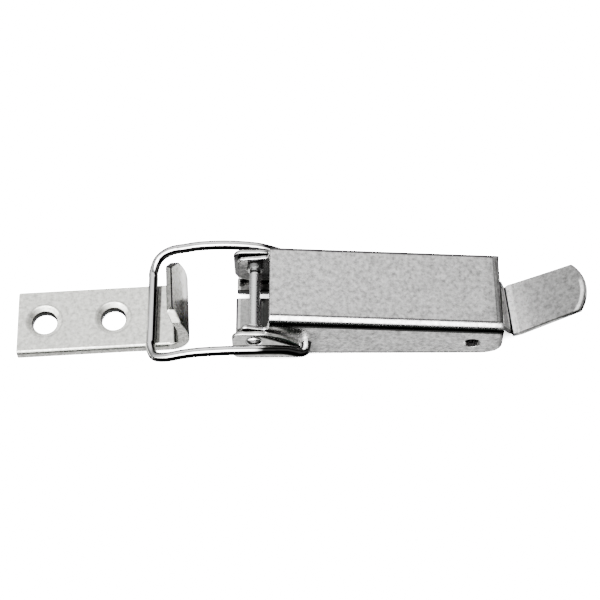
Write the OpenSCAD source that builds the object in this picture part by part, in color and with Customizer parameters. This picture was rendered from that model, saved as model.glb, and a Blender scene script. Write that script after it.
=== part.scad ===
// Over-centre lever clasp of stainless sheet and wire, shown closed, with its catch plate.
// X runs along the clasp, with the catch plate at -X and the finger tab at +X. Z points away
// from the surface that it is screwed to. The origin is on that surface, under the pivot pin.

/* [Lever] */
// Width over the lever's side walls
lever_w = 18.6; // [18:0.2:19]
// Thickness of the lever's sheet
lever_t = 1; // [0.8:0.1:1.2]
// Outer radius of the bends along the lever's top
lever_bend = 2; // [1.6:0.1:2.6]
// Height of the lever's top at its left end
lever_h = 15.7; // [15:0.1:17]
// Slope of the lever's top down towards the tab, in degrees
lever_slope = 4.4; // [3:0.1:5]
// Distance from the pivot to the left end of the lever's top
top_start = 3.6; // [3:0.1:4.5]
// Distance from the pivot to the lever's right end
lever_end = 53.8; // [52:0.1:54.5]
// Radius of the walls' lower right corners
wall_corner = 4.2; // [3:0.1:5]
// Radius of the hole through both walls
lock_r = 1.85; // [1:0.05:2.2]

/* [Finger tab] */
// Width of the tab at its root
tab_w = 11.8; // [10:0.2:13]
// Length of the tab, from the bottom of its bend to its tip
tab_len = 18.7; // [15:0.1:24]
// Narrowing of the tab from its root to its tip
tab_taper = 0.9; // [0:0.1:2]
// Radius of the tab's rounded end
tab_end_r = 8; // [6.6:0.1:10]
// Rise of the tab, in degrees
tab_rise = 27; // [15:1:40]
// Turn of the tab about the vertical, in degrees
tab_turn = 6.5; // [0:0.5:7]

/* [Base] */
// Thickness of the base's sheet
base_t = 1; // [0.8:0.1:1.1]
// Height of the base's ears
ear_h = 11.9; // [11.5:0.1:12.5]
// Outer radius of the bends between the floor and the ears
base_bend = 1.6; // [1.4:0.1:2]
// Distance from the pivot to the right end of the floor
floor_end = 37; // [34:1:42]
// Width of the tongue between the two slots
tongue_w = 8.5; // [7:0.5:10]

/* [Pivot pin] */
// Height of the pivot pin above the mounting surface
pin_z = 8.6; // [8.4:0.1:8.9]
// Radius of the pivot pin
pin_r = 1.05; // [0.8:0.05:1.3]

/* [Bail] */
// Diameter of the wire
wire_d = 1.6; // [1.2:0.1:1.8]
// Height of the bail's holes in the lever
bail_z = 5.4; // [5:0.1:6]
// Distance from the pivot to the bail's holes
bail_x = 11.3; // [11:0.1:12]
// Distance from the pivot to the middle of the bail's cross bar
bar_x = 22.8; // [22:0.1:24]
// Half of the bail's width at its widest, to the middle of the wire
bail_half = 13.2; // [13:0.1:13.8]
// Radius of the bend at each end of the cross bar
bail_corner = 3.8; // [3:0.1:5]

/* [Catch plate] */
// Thickness of the catch plate
catch_t = 2.6; // [2:0.1:2.8]
// Width of the catch plate
catch_w = 14.2; // [12:0.2:16]
// Length of the catch plate with its hook
catch_len = 37.7; // [36:0.1:38.5]
// Outer radius of the bend at the hook's foot
hook_bend = 4.6; // [4:0.1:5]
// Outer radius of the hook's lip, which curves back over the plate
lip_r = 16; // [12:0.5:20]
// Height of the hook
hook_h = 15; // [13:0.1:15.5]
// Turn of the catch plate on the surface, in degrees
catch_turn = 3.4; // [0:0.1:4]

/* [Screw holes] */
// Radius of the countersunk screw holes
screw_r = 2.65; // [2:0.05:2.8]
// Radius of the countersinks at the surface
sink_r = 3.8; // [3.2:0.05:4]
// Distance between two screw holes
screw_gap = 15.2; // [12:0.1:16]

/* [Hidden] */
$fn = 64;
// Overlap of cutting shapes past the faces that they cut
eps = 1;
// Steps along each rounded stretch of an outline
arc_steps = 10;

// Lever: inner half width, gap to the base, and heights of the two stretches of the wall's foot
lever_in = lever_w / 2 - lever_t;
side_gap = 0.3;
foot_z = 0.5;
ear_foot_z = 1.6;
foot_step_x = 10.9;
// Lever's ears: left edge, height, and reach round the pivot
lever_ear_x = -4;
lever_ear_h = 11.6;
lever_ear_r = 2.6;
lever_ear_turn = 35;
lever_ear_reach = pin_z - ear_foot_z;
// Lean of the wall's left edge between the ear and the top
wall_lean = 0.9;
// Lock hole
lock_x = 47.2;
lock_z = 5.3;
// End of the lever: bend from the top to the end wall, and where the end wall stops
end_bend = 2.8;
end_web_gap = 0.2;
end_wall_z = 9.4;
end_drop = (lever_end - top_start) * tan(lever_slope);
end_top_z = lever_h - end_drop;
// Bottom of the bend between the web and the tab
vee_x = 55.2;
vee_y = -0.2;
vee_z = 2.75;

// Base
base_in = lever_w / 2 + side_gap;
base_out = base_in + base_t;
base_x0 = -4.4;
ear_x1 = 10;
floor_gap = 0.6;
floor_half = lever_in - floor_gap;
slot_x1 = 8;
slot_out = 5.9;
// Ear's outline: lower left and upper left corners, long top curve, and right corner
ear_foot_r = 3.2;
ear_top_r = 2.2;
ear_crown_r = 9;
ear_crown_x = 1;
ear_crown_end = 52;
ear_tip_r = 1.2;
ear_tip_z = 6;
base_hole_x = 15;
floor_corner = 2;

// Pivot pin: running clearance in the lever, heads and collars
run_gap = 0.05;
head_r = 1.85;
head_h = 0.5;
collar_r = 1.8;
collar_gap = 0.2;
head_gap = 0.02;
collar_len = 1.2;

// Bail
wire_r = wire_d / 2;
stub_in = lever_in - 0.8;
stub_out = base_out - 0.4;
bar_z = catch_t + wire_r + 0.3;
leg_y = base_out + wire_r + 0.35;
turn_r = 1.6;
// The bent wire is drawn as a tube a little thinner than its straight ends, and runs into them
tube_r = wire_r - 0.02;
tube_lap = 0.5;
wire_sides = 12;
path_steps = 3;

// Catch plate
catch_x = -52.3;
catch_y = -2.5;
catch_hole_u = 5.7;
lip_t = 1.4;
lip_straight = 1;
lip_chamfer_w = 3;
lip_chamfer_h = 2.8;
sink_depth = 1;

steel = [0.78, 0.78, 0.77];
bright_steel = [0.86, 0.86, 0.86];
plate_steel = [0.82, 0.82, 0.8];

// Points of an arc round (cx, cy), from angle a0 to angle a1
function arc(cx, cy, r, a0, a1, steps = arc_steps) =
    [for (i = [0:steps]) let (a = a0 + (a1 - a0) * i / steps) [cx + r * cos(a), cy + r * sin(a)]];

// A side outline in X and Z, as a prism of the given width centred on the clasp's middle
module side_prism(width) {
    rotate([90, 0, 0]) linear_extrude(width, center = true) children();
}

// A cross-section in Y and Z, drawn out along X
module along_x(x0, x1) {
    translate([x0, 0, 0]) rotate([90, 0, 90]) linear_extrude(x1 - x0) children();
}

// A round bar along Y, centred on the clasp's middle
module cross_bar(x, z, r, length) {
    translate([x, 0, z]) rotate([90, 0, 0]) cylinder(h = length, r = r, center = true);
}

// A screw hole through a plate of thickness t that stands on the surface
module screw_hole(x, t) {
    translate([x, 0, -eps]) cylinder(h = t + 2 * eps, r = screw_r);
}

// A countersink at the top of such a plate
module countersink(x, t) {
    translate([x, 0, t - sink_depth]) cylinder(h = sink_depth, r1 = screw_r, r2 = sink_r);
    translate([x, 0, t]) cylinder(h = eps, r = sink_r);
}

// Side outline of the catch plate: flat strip, bend, and a curved lip that grows thinner
module catch_outline() {
    bend_x = catch_len - hook_bend;
    lip_x = catch_len - lip_r;
    lip_z = hook_bend + lip_straight;
    lip_end = asin((hook_h - lip_z) / lip_r);
    polygon(concat(
        [[0, 0]],
        arc(bend_x, hook_bend, hook_bend, -90, 0),
        arc(lip_x, lip_z, lip_r, 0, lip_end),
        [for (i = [0:arc_steps]) let (a = lip_end * (1 - i / arc_steps),
            r = lip_r - catch_t + (catch_t - lip_t) * a / lip_end)
            [lip_x + r * cos(a), lip_z + r * sin(a)]],
        arc(bend_x, hook_bend, hook_bend - catch_t, 0, -90),
        [[0, catch_t]]
    ));
}

// Front outline of the catch plate, whose lip has its two upper corners cut off
module catch_front() {
    half = catch_w / 2;
    polygon([[-half, 0], [half, 0], [half, hook_h - lip_chamfer_h], [half - lip_chamfer_w, hook_h],
             [lip_chamfer_w - half, hook_h], [-half, hook_h - lip_chamfer_h]]);
}

module catch_plate() {
    color(plate_steel) translate([catch_x, catch_y, 0]) rotate([0, 0, catch_turn])
    difference() {
        intersection() {
            side_prism(catch_w) catch_outline();
            along_x(-eps, catch_len + eps) catch_front();
        }
        for (i = [0, 1]) {
            screw_hole(catch_hole_u + i * screw_gap, catch_t);
            countersink(catch_hole_u + i * screw_gap, catch_t);
        }
    }
}

// Side outline of the base's ears: steep left edge, rounded top, long slope to the right
module ear_outline() {
    polygon(concat(
        arc(base_x0 + ear_foot_r, ear_foot_r, ear_foot_r, -90, -180),
        arc(base_x0 + ear_top_r, ear_h - ear_top_r, ear_top_r, 180, 90),
        arc(ear_crown_x, ear_h - ear_crown_r, ear_crown_r, 90, ear_crown_end),
        arc(ear_x1 - ear_tip_r, ear_tip_z, ear_tip_r, 45, 0),
        [[ear_x1, 0]]
    ));
}

// Cross-section of the base between its ears, open at the top
module base_section() {
    inner_r = base_bend - base_t;
    difference() {
        union() {
            translate([-base_out, base_bend]) square([2 * base_out, ear_h]);
            translate([base_bend - base_out, 0]) square([2 * (base_out - base_bend), 2 * base_bend]);
            for (side = [-1, 1]) translate([side * (base_out - base_bend), base_bend]) circle(base_bend);
        }
        translate([-base_in, base_bend]) square([2 * base_in, ear_h + eps]);
        translate([inner_r - base_in, base_t]) square([2 * (base_in - inner_r), 2 * base_bend]);
        for (side = [-1, 1]) translate([side * (base_in - inner_r), base_bend]) circle(inner_r);
    }
}

// Floor of the base under the lever
module floor_plan() {
    translate([ear_x1 - eps, -floor_half]) square([floor_end - floor_corner - ear_x1 + eps, 2 * floor_half]);
    translate([ear_x1 - eps, floor_corner - floor_half])
        square([floor_end - ear_x1 + eps, 2 * (floor_half - floor_corner)]);
    for (side = [-1, 1])
        translate([floor_end - floor_corner, side * (floor_half - floor_corner)]) circle(floor_corner);
}

module base() {
    slot_w = slot_out - tongue_w / 2;
    color(steel) difference() {
        union() {
            difference() {
                intersection() {
                    along_x(base_x0, ear_x1) base_section();
                    side_prism(2 * base_out + eps) ear_outline();
                }
                // Slots between the tongue and the strips that carry the ears
                for (side = [-1, 1]) translate([0, side * (tongue_w + slot_w) / 2, 0]) {
                    translate([base_x0 - eps, -slot_w / 2, -eps])
                        cube([slot_x1 - base_x0 + eps - slot_w / 2, slot_w, base_t + 2 * eps]);
                    translate([slot_x1 - slot_w / 2, 0, -eps]) cylinder(h = base_t + 2 * eps, r = slot_w / 2);
                }
            }
            translate([base_x0, -tongue_w / 2, 0]) cube([ear_x1 - base_x0, tongue_w, base_t]);
            linear_extrude(base_t) floor_plan();
        }
        cross_bar(0, pin_z, pin_r + run_gap / 2, 3 * lever_w);
        for (i = [0, 1]) screw_hole(base_hole_x + i * screw_gap, base_t);
    }
}

// Side outline of the lever, grown inwards by inset at its top and right end
module lever_outline(inset) {
    drop = tan(lever_slope);
    top_at_end = end_top_z + end_bend * drop;
    polygon(concat(
        [[top_start - wall_lean, lever_ear_h], [top_start, lever_h - inset]],
        arc(lever_end - end_bend, top_at_end - end_bend, end_bend - inset, 90, 0),
        [[lever_end - inset, wall_corner + foot_z]],
        arc(lever_end - wall_corner - inset, wall_corner + foot_z, wall_corner, 0, -90),
        [[foot_step_x, foot_z], [foot_step_x, ear_foot_z]],
        arc(0, pin_z, lever_ear_reach, -90, -90 - lever_ear_turn),
        arc(lever_ear_x + lever_ear_r, lever_ear_h - lever_ear_r, lever_ear_r, 180, 90)
    ));
}

// Cross-section of the lever's outside or inside, with rounded upper edges
module lever_section(half, r) {
    height = 2 * lever_h;
    translate([-half, -height]) square([2 * half, height - r]);
    translate([r - half, -height]) square([2 * (half - r), height]);
    for (side = [-1, 1]) translate([side * (half - r), -r]) circle(r);
}

// Outside or inside of the lever as a solid that follows the slope of its top
module lever_body(inset) {
    half = lever_w / 2 - inset;
    translate([top_start, 0, lever_h - inset]) rotate([0, lever_slope, 0])
        along_x(-lever_h, lever_end + lever_h) lever_section(half, lever_bend - inset);
}

// Finger tab seen from above: straight back edge, front edge that runs inwards, rounded end
module tab_plan() {
    half = tab_w / 2;
    intersection() {
        polygon([[0, -half], [tab_len, tab_taper - half], [tab_len, half], [0, half]]);
        union() {
            translate([0, -half]) square([tab_len - tab_end_r, tab_w]);
            translate([tab_len - tab_end_r, tab_taper / 2]) circle(tab_end_r);
        }
    }
}

// End wall's web down to the bend, and the finger tab that rises from it
module finger_tab() {
    hull() {
        cross_bar(lever_end - lever_t / 2, end_wall_z, lever_t / 2, 2 * (lever_in - end_web_gap), $fn = 32);
        translate([vee_x, vee_y, vee_z]) rotate([0, 0, tab_turn])
            cross_bar(0, 0, lever_t / 2, tab_w, $fn = 32);
    }
    translate([vee_x, vee_y, vee_z]) rotate([0, 0, tab_turn]) rotate([0, -tab_rise, 0])
        translate([0, 0, -lever_t / 2]) linear_extrude(lever_t) tab_plan();
}

module lever() {
    color(steel) difference() {
        union() {
            difference() {
                intersection() {
                    lever_body(0);
                    side_prism(lever_w + eps) lever_outline(0);
                }
                intersection() {
                    lever_body(lever_t);
                    translate([-lever_end, -lever_w / 2, -lever_h])
                        cube([2 * lever_end - lever_t, lever_w, 2 * lever_h]);
                }
                // The end wall stops short of the foot of the side walls
                translate([lever_end - 2 * lever_t, -lever_in, -eps])
                    cube([3 * lever_t, 2 * lever_in, end_wall_z + eps]);
            }
            finger_tab();
        }
        cross_bar(0, pin_z, pin_r + run_gap, 2 * lever_w);
        cross_bar(bail_x, bail_z, wire_r + run_gap, 2 * lever_w);
        cross_bar(lock_x, lock_z, lock_r, 2 * lever_w);
    }
}

module pivot_pin() {
    color(bright_steel) {
        cross_bar(0, pin_z, pin_r, 2 * base_out + head_h);
        for (side = [-1, 1]) {
            translate([0, side * (base_out + head_gap + head_h / 2), 0]) cross_bar(0, pin_z, head_r, head_h);
            translate([0, side * (lever_in - collar_gap - collar_len / 2), 0])
                cross_bar(0, pin_z, collar_r, collar_len);
        }
    }
}

// Half of the bail's wire, as points that its middle passes: half of the cross bar, the corner,
// the leg arched over the hook and the base's ear, and the turn into the lever's wall
corner = bail_corner * (1 - cos(45));
shoulder = turn_r * (1 - cos(45));
half_wire = [
    [-bar_x, 0, bar_z],
    [-bar_x, bail_half - bail_corner - 2, bar_z],
    [-bar_x, bail_half - bail_corner, bar_z + 0.1],
    [corner - bar_x, bail_half - corner, bar_z + 1.2],
    [bail_corner - bar_x, bail_half, bar_z + 2.9],
    [-15.5, bail_half, 7.9],
    [-11.8, bail_half, 8.9],
    [-6, bail_half - 0.1, 9.4],
    [0, bail_half - 0.4, 9.1],
    [3.6, leg_y + 0.6, 8.3],
    [7, leg_y + 0.1, 7.1],
    [bail_x - turn_r, leg_y, bail_z + 0.45],
    [bail_x - shoulder, leg_y - shoulder, bail_z + 0.1],
    [bail_x, leg_y - turn_r, bail_z],
    [bail_x, stub_out - tube_lap, bail_z]
];

// Smooth curve through the points of a list, at a share t between points i and i + 1
function spline(list, i, t) =
    let (a = list[max(i - 1, 0)], b = list[i], c = list[i + 1], d = list[min(i + 2, len(list) - 1)])
    (2 * b + (c - a) * t + (2 * a - 5 * b + 4 * c - d) * t * t + (3 * b - a - 3 * c + d) * t * t * t) / 2;

// The whole wire's points from one end to the other, and the smooth path through them
stations = concat(
    [for (i = [len(half_wire) - 1:-1:1]) [half_wire[i][0], -half_wire[i][1], half_wire[i][2]]],
    half_wire
);
path = concat(
    [for (i = [0:len(stations) - 2], k = [0:path_steps - 1]) spline(stations, i, k / path_steps)],
    [stations[len(stations) - 1]]
);

function unit(v) = v / norm(v);

// Ring of points round the path at step i
function ring(i, r) =
    let (a = path[max(i - 1, 0)], b = path[min(i + 1, len(path) - 1)], t = unit(b - a),
         s = unit(cross(t, [0, 0, 1])), n = cross(s, t))
    [for (k = [0:wire_sides - 1]) let (w = 360 * k / wire_sides) path[i] + r * (cos(w) * s + sin(w) * n)];

// A tube along the whole path
module wire(r) {
    m = len(path);
    k = wire_sides;
    polyhedron(
        points = [for (i = [0:m - 1]) each ring(i, r)],
        faces = concat(
            [[for (j = [k - 1:-1:0]) j]],
            [for (i = [0:m - 2], j = [0:k - 1]) each let (a = i * k + j, b = i * k + (j + 1) % k)
                [[a, b, a + k], [b, b + k, a + k]]],
            [[for (j = [0:k - 1]) (m - 1) * k + j]]
        )
    );
}

module bail() {
    color(bright_steel) {
        wire(tube_r);
        for (side = [-1, 1])
            translate([0, side * (stub_in + stub_out) / 2, 0]) cross_bar(bail_x, bail_z, wire_r, stub_out - stub_in);
    }
}

catch_plate();
base();
lever();
pivot_pin();
bail();
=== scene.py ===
"""Lever clasp of stainless sheet and wire, with its catch plate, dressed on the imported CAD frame.

Sizes and lights come first, then modelling steps, pieces, masks of the materials, and the stage."""
import math
import bpy
import bmesh
from mathutils import Matrix, Vector


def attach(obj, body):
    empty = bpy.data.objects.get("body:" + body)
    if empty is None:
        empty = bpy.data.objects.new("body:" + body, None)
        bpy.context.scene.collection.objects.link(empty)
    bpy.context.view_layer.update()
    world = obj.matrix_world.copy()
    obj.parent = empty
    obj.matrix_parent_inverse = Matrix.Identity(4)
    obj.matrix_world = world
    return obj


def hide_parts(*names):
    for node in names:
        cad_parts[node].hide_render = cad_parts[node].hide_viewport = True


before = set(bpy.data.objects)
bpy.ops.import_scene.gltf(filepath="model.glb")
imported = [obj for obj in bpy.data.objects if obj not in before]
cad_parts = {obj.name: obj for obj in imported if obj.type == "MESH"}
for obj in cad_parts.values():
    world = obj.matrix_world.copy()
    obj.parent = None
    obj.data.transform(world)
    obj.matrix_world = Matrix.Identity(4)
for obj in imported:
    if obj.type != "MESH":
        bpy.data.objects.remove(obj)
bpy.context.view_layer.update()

# Pieces are modelled in millimetres and brought to metres when they are finished
MM = 0.001

# Camera, as fitted to the photograph
CAMERA_TARGET = Vector((9.845, 1.064, 6.0)) * MM
CAMERA_ELEVATION = math.radians(61.57)
CAMERA_AZIMUTH = math.radians(-1.35)
CAMERA_ROLL = math.radians(-1.34)
CAMERA_DISTANCE = 417.4 * MM
CAMERA_LENS_MM = 114.0
SENSOR_MM = 36.0

# Lever: folded sheet, a shallow box open at the bottom and at the left
LEVER_HALF = 9.3
LEVER_T = 1.0
LEVER_BEND = 2.0
LEVER_BACK_BEND = 1.3
LEVER_TOP = 15.7
LEVER_TOP_X = 3.6
LEVER_SLOPE = math.radians(4.4)
LEVER_END = 53.8
LEVER_END_BEND = 1.6
LEVER_FOOT = 0.5
LEVER_CORNER = 4.2
EAR_FOOT = 1.6
EAR_FOOT_X = 10.9
EAR_FOOT_LEFT = -1.5
EAR_LEFT = -4.0
EAR_LEFT_FOOT = 3.0
EAR_TOP = 11.6
EAR_CORNER = 2.6
EAR_BACK_DROP = 0.4
EAR_FRONT_RISE = 0.9
WALL_LEAN = 0.9
END_WALL_Z = 9.4
# The end is cut askew by this much, over the last stretch of the lever
END_SKEW = 0.45
END_STRETCH = 8
# Place along the lever, height and radius
LOCK_HOLE = (47.2, 5.3, 1.85)

# Finger tab: its fold, and the flat that rises from it
TAB_FOLD = Vector((55.2, -0.4, 2.75))
TAB_CREASE = TAB_FOLD.x + 0.35
TAB_LEN = 18.4
TAB_HALF = 5.6
# Its front edge runs in by most of the taper, and its round end is centred half way
TAB_TAPER = 0.9
TAB_FRONT_SHARE = 0.85
TAB_END_R = 8.0
TAB_END_Y = TAB_TAPER / 2
TAB_RISE = math.radians(27)
TAB_TURN = math.radians(6.5)
FOLD_R = 0.4
# The tab's root is flatter than the tab: places along the tab, and heights over its plane
TAB_ROOT = ((0.4, 0.68), (1.6, 0.195), (2.1, 0.061), (2.6, 0.0))
TAB_RIM = 0.95
WEB_BACK = 3.4
WEB_FRONT = -7.4

# Base: channel with two ears, a tongue between two slots, and a floor
BASE_HALF = 10.6
BASE_T = 1.0
BASE_BEND = 1.6
BASE_LEFT = -4.8
TONGUE_LEFT = -4.4
BASE_EAR_RIGHT = 10.0
BASE_EAR_TOP = 11.9
BASE_BLANK_TOP = 14
BASE_FLOOR_END = 37.0
BASE_FLOOR_HALF = 7.7
BASE_FLOOR_CORNER = 2
TONGUE_HALF = 4.25
SLOT_OUT = 5.9
SLOT_END = 8.0
# The strips beside the slots: middle, half width, and how far they stay behind the tongue's end
SIDE_Y = 7.4
SIDE_HALF = 2.0
SIDE_BACK = 0.2
BASE_HOLES = (15.0, 30.2)

# Pivot pin, with a collar inside each ear and a head outside, and the bail's holes
PIN_Z = 8.6
PIN_R = 1.05
RUN_GAP = 0.05
SHANK_R = 1.2
COLLAR_R = 1.8
COLLAR_WIDE = 1.2
COLLAR_EDGE = 0.15
COLLAR_GAP = 0.2
RIVET_R = 1.85
RIVET_H = 0.85
RIVET_GAP = 0.02
BAIL_HOLE = (11.3, 5.4)

# Bail: its cross bar, half width, corners, and the turn of its ends
WIRE_R = 1.05
BAR_X = -22.8
BAR_Z = 3.7
BAIL_HALF = 13.2
BAIL_CORNER = 3.8
BAIL_TURN = 1.6
BAIL_LEG = 11.75

# Catch plate
PLATE_T = 2.6
PLATE_HALF = 7.6
PLATE_SKEW = 0.5
PLATE_LEN = 37.7
PLATE_PLACE = (-52.3, -2.5)
PLATE_TURN = math.radians(3.4)
PLATE_ROLL = 0.8
HOOK_BEND = 4.6
HOOK_STRAIGHT = 1.0
HOOK_LIP_R = 16.0
HOOK_TOP = 15.0
LIP_T = 1.6
LIP_CUT = (3.0, 2.8)
SCREW_R = 2.65
SINK_R = 3.8
SINK_DEPTH = 1.0
PLATE_HOLES = (5.7, 20.9)

# Edges broken by tumbling, and how each piece is cleaned before that
RIM_ROUND = 0.36
TAB_RIM_ROUND = 0.3
SHARP = math.radians(35)
SMOOTH = math.radians(40)
FLAT = math.radians(0.5)
DOUBLE = 0.002
ROUND_STEPS = 8
RIM_STEPS = 4
ROD_SIDES = 48
PIN_SIDES = 40
# How far blanks go beyond their outline, how far cutters reach, and how near two places are one
SPARE = 12.0
CUT = 20
NEAR = 0.1

# Light that comes from each angle: 0 is straight up, 90 the back horizon, -90 the front horizon
STUDIO_STRENGTH = 20.0
STUDIO_RINGS = ((-180, 0.2), (-165, 0.3), (-158, 1.2), (-150, 1.2), (-145, 0.0), (-60, 0.0), (-52, 14.0),
                (-8, 14.0), (-3, 0.2), (11, 0.2), (17, 1.5), (62, 1.5), (75, 0.4), (105, 0.3), (120, 0.45),
                (150, 0.5), (165, 0.25), (180, 0.2))
# The share of it from each part of the room, left to right, above and below the horizon
STUDIO_ABOVE = ((-1.0, 0.5), (-0.75, 0.8), (-0.35, 1.3), (-0.1, 1.25), (0.12, 0.97), (0.2, 0.88),
                (0.35, 0.25), (0.5, 0.08), (1.0, 0.05))
STUDIO_BELOW = ((0.1, 1.0), (0.5, 4.8))
STUDIO_HORIZON = ((-0.15, 0.0), (0.05, 1.0))
# The least light of a dark wall, a little green as the photograph's is
DARK = 0.012
DARK_TINT = (0.7, 1.3, 1.0)
LAMP_STRENGTH = 8.3
LAMP_WIDE = math.radians(6)
LAMP_AIM = Vector((0.5, -0.1, -0.866))
# The floor's width in metres, its glow, and the share of open sky where that starts and is full
FLOOR_WIDE = 4.0
FLOOR_GLOW = 20.0
FLOOR_OPEN = (0.24, 0.4)
FLOOR_REACH = 40 * MM


def srgb(code):
    """A hex colour as linear RGBA."""
    channels = [int(code[i:i + 2], 16) / 255 for i in (0, 2, 4)]
    linear = [c / 12.92 if c <= 0.04045 else ((c + 0.055) / 1.055) ** 2.4 for c in channels]
    return (*linear, 1.0)


def add_node(tree, kind, inputs=None, stops=(), **settings):
    """A node with its settings, a ramp's stops, and its inputs set to values or linked to sockets."""
    node = tree.nodes.new(kind)
    for name, value in settings.items():
        setattr(node, name, value)
    for name, value in (inputs or {}).items():
        if isinstance(value, bpy.types.NodeSocket):
            tree.links.new(value, node.inputs[name])
        else:
            node.inputs[name].default_value = value
    if stops:
        elements = node.color_ramp.elements
        elements.remove(elements[1])
        for place, level in stops:
            element = elements.new(place) if place else elements[0]
            element.color = (*level, 1)
    return node


# Modelling steps that the pieces share

def only(obj):
    """Selects this object alone and makes it the active one."""
    bpy.ops.object.select_all(action="DESELECT")
    obj.select_set(True)
    bpy.context.view_layer.objects.active = obj


def settle(obj, place=(0, 0, 0), turn=None, size=None):
    """Places an object, turns or scales it where that is asked, and moves all this into its mesh."""
    obj.location = place
    if turn is not None:
        obj.rotation_euler = turn
    if size is not None:
        obj.scale = size
    only(obj)
    bpy.ops.object.transform_apply(location=True, rotation=turn is not None, scale=size is not None)


def edit(obj, kind="VERT"):
    """Opens edit mode on this object alone, with nothing selected."""
    only(obj)
    bpy.ops.object.mode_set(mode="EDIT")
    bpy.ops.mesh.select_mode(type=kind)
    bpy.ops.mesh.select_all(action="DESELECT")


def done():
    """Closes edit mode."""
    bpy.ops.object.mode_set(mode="OBJECT")


def pick_all():
    """Selects the whole mesh, in edit mode."""
    bpy.ops.mesh.select_all(action="SELECT")


def pick(obj, kind, test):
    """Selects only the vertices, edges or faces that pass a test, in edit mode."""
    bpy.ops.mesh.select_all(action="DESELECT")
    mesh = bmesh.from_edit_mesh(obj.data)
    for element in getattr(mesh, kind):
        element.select_set(bool(test(element)))
    mesh.select_flush_mode()
    bmesh.update_edit_mesh(obj.data)


def clean(obj):
    """Opens edit mode, joins doubled vertices and drops the edges inside flat faces."""
    edit(obj)
    pick_all()
    bpy.ops.mesh.remove_doubles(threshold=DOUBLE)
    bpy.ops.mesh.dissolve_limited(angle_limit=FLAT)


def face_out():
    """Points all faces outwards and closes edit mode."""
    pick_all()
    bpy.ops.mesh.normals_make_consistent(inside=False)
    done()


def middle(edge):
    """The middle of an edge."""
    return (edge.verts[0].co + edge.verts[1].co) / 2


def span(edge, axis):
    """How far an edge reaches along an axis."""
    return abs(getattr(edge.verts[0].co, axis) - getattr(edge.verts[1].co, axis))


def block(name, low, high):
    """A block between two corners."""
    low, high = Vector(low), Vector(high)
    bpy.ops.mesh.primitive_cube_add(size=1)
    obj = bpy.context.object
    obj.name = name
    settle(obj, (low + high) / 2, size=high - low)
    return obj


def flat_sheet(start, end, half):
    """A flat without thickness, from start to end along X."""
    bpy.ops.mesh.primitive_plane_add(size=1)
    obj = bpy.context.object
    settle(obj, ((start + end) / 2, 0, 0), size=(end - start, 2 * half, 1))
    return obj


def rod(name, start, end, r, r_end=None):
    """A round bar, or a cone where its end has its own radius."""
    start, end = Vector(start), Vector(end)
    r_end = r if r_end is None else r_end
    length = (end - start).length
    bpy.ops.mesh.primitive_cone_add(vertices=ROD_SIDES, radius1=r, radius2=r_end, depth=length)
    obj = bpy.context.object
    obj.name = name
    settle(obj, (start + end) / 2, (end - start).to_track_quat("Z", "Y").to_euler())
    return obj


def cross_hole(obj, x, z, r):
    """Bores a round hole straight across a piece."""
    combine(obj, rod("hole", (x, -CUT, z), (x, CUT, z), r), "DIFFERENCE")


def use(obj, modifier):
    """Applies a modifier that was just added."""
    only(obj)
    bpy.ops.object.modifier_apply(modifier=modifier.name)


def combine(obj, other, operation):
    """Cuts another solid from this one, keeps what they share, or joins them, and uses it up."""
    modifier = obj.modifiers.new("combine", "BOOLEAN")
    modifier.operation = operation
    modifier.solver = "EXACT"
    modifier.object = other
    use(obj, modifier)
    bpy.data.objects.remove(other)


def round_edges(obj, test, radius, steps=ROUND_STEPS):
    """Rounds the edges that pass a test."""
    edit(obj, "EDGE")
    pick(obj, "edges", test)
    bpy.ops.mesh.bevel(offset=radius, segments=steps, profile=0.5, affect="EDGES")
    done()


def soften_rims(obj, test, radius):
    """Rounds the sharp edges whose middle passes a test, as tumbling does."""
    clean(obj)
    bpy.ops.mesh.select_mode(type="EDGE")
    pick(obj, "edges", lambda e: e.calc_face_angle(0) > SHARP and test(middle(e)))
    bpy.ops.mesh.bevel(offset=radius, segments=RIM_STEPS, profile=0.5, affect="EDGES",
                       clamp_overlap=False)
    done()


def slab(name, corners, half):
    """A slab across the part with an outline in X and Z. A corner is x, z and its rounding."""
    bpy.ops.mesh.primitive_circle_add(vertices=len(corners), radius=1, fill_type="NGON")
    obj = bpy.context.object
    obj.name = name
    around = [Vector((x, -half, z)) for x, z, rounding in corners]
    for vertex, place in zip(obj.data.vertices, around):
        vertex.co = place
    edit(obj)
    for at, (x, z, rounding) in enumerate(corners):
        if rounding:
            place = around[at]
            before = around[at - 1] - place
            after = around[(at + 1) % len(around)] - place
            cut_back = rounding / math.tan(before.angle(after) / 2)
            pick(obj, "verts", lambda v: (v.co - place).length < 1e-4)
            bpy.ops.mesh.bevel(offset=cut_back, segments=ROUND_STEPS, profile=0.5, affect="VERTICES")
    pick_all()
    bpy.ops.mesh.extrude_region_move(TRANSFORM_OT_translate={"value": (0, 2 * half, 0)})
    face_out()
    return obj


def thicken(obj, thickness, offset):
    """A modifier that gives a sheet its thickness, half to each side where the offset is 0."""
    sheet = obj.modifiers.new("sheet", "SOLIDIFY")
    sheet.thickness = thickness
    sheet.offset = offset
    return sheet


def finish_piece(obj, name, node, body, material, edge):
    """Breaks the sharp edges, smooths the rounds, brings the piece to metres and ties it to a body."""
    obj.name = name
    obj.data.name = name
    clean(obj)
    face_out()
    if edge:
        broken = obj.modifiers.new("broken_edges", "BEVEL")
        broken.width = edge
        broken.segments = RIM_STEPS
        broken.limit_method = "ANGLE"
        broken.angle_limit = SHARP
        broken.use_clamp_overlap = False
        use(obj, broken)
    only(obj)
    bpy.ops.object.shade_smooth_by_angle(angle=SMOOTH)
    weighted = obj.modifiers.new("flat_faces", "WEIGHTED_NORMAL")
    weighted.keep_sharp = True
    use(obj, weighted)
    settle(obj, size=(MM, MM, MM))
    obj.data.materials.clear()
    obj.data.materials.append(material)
    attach(obj, body)
    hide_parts(node)


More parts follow.
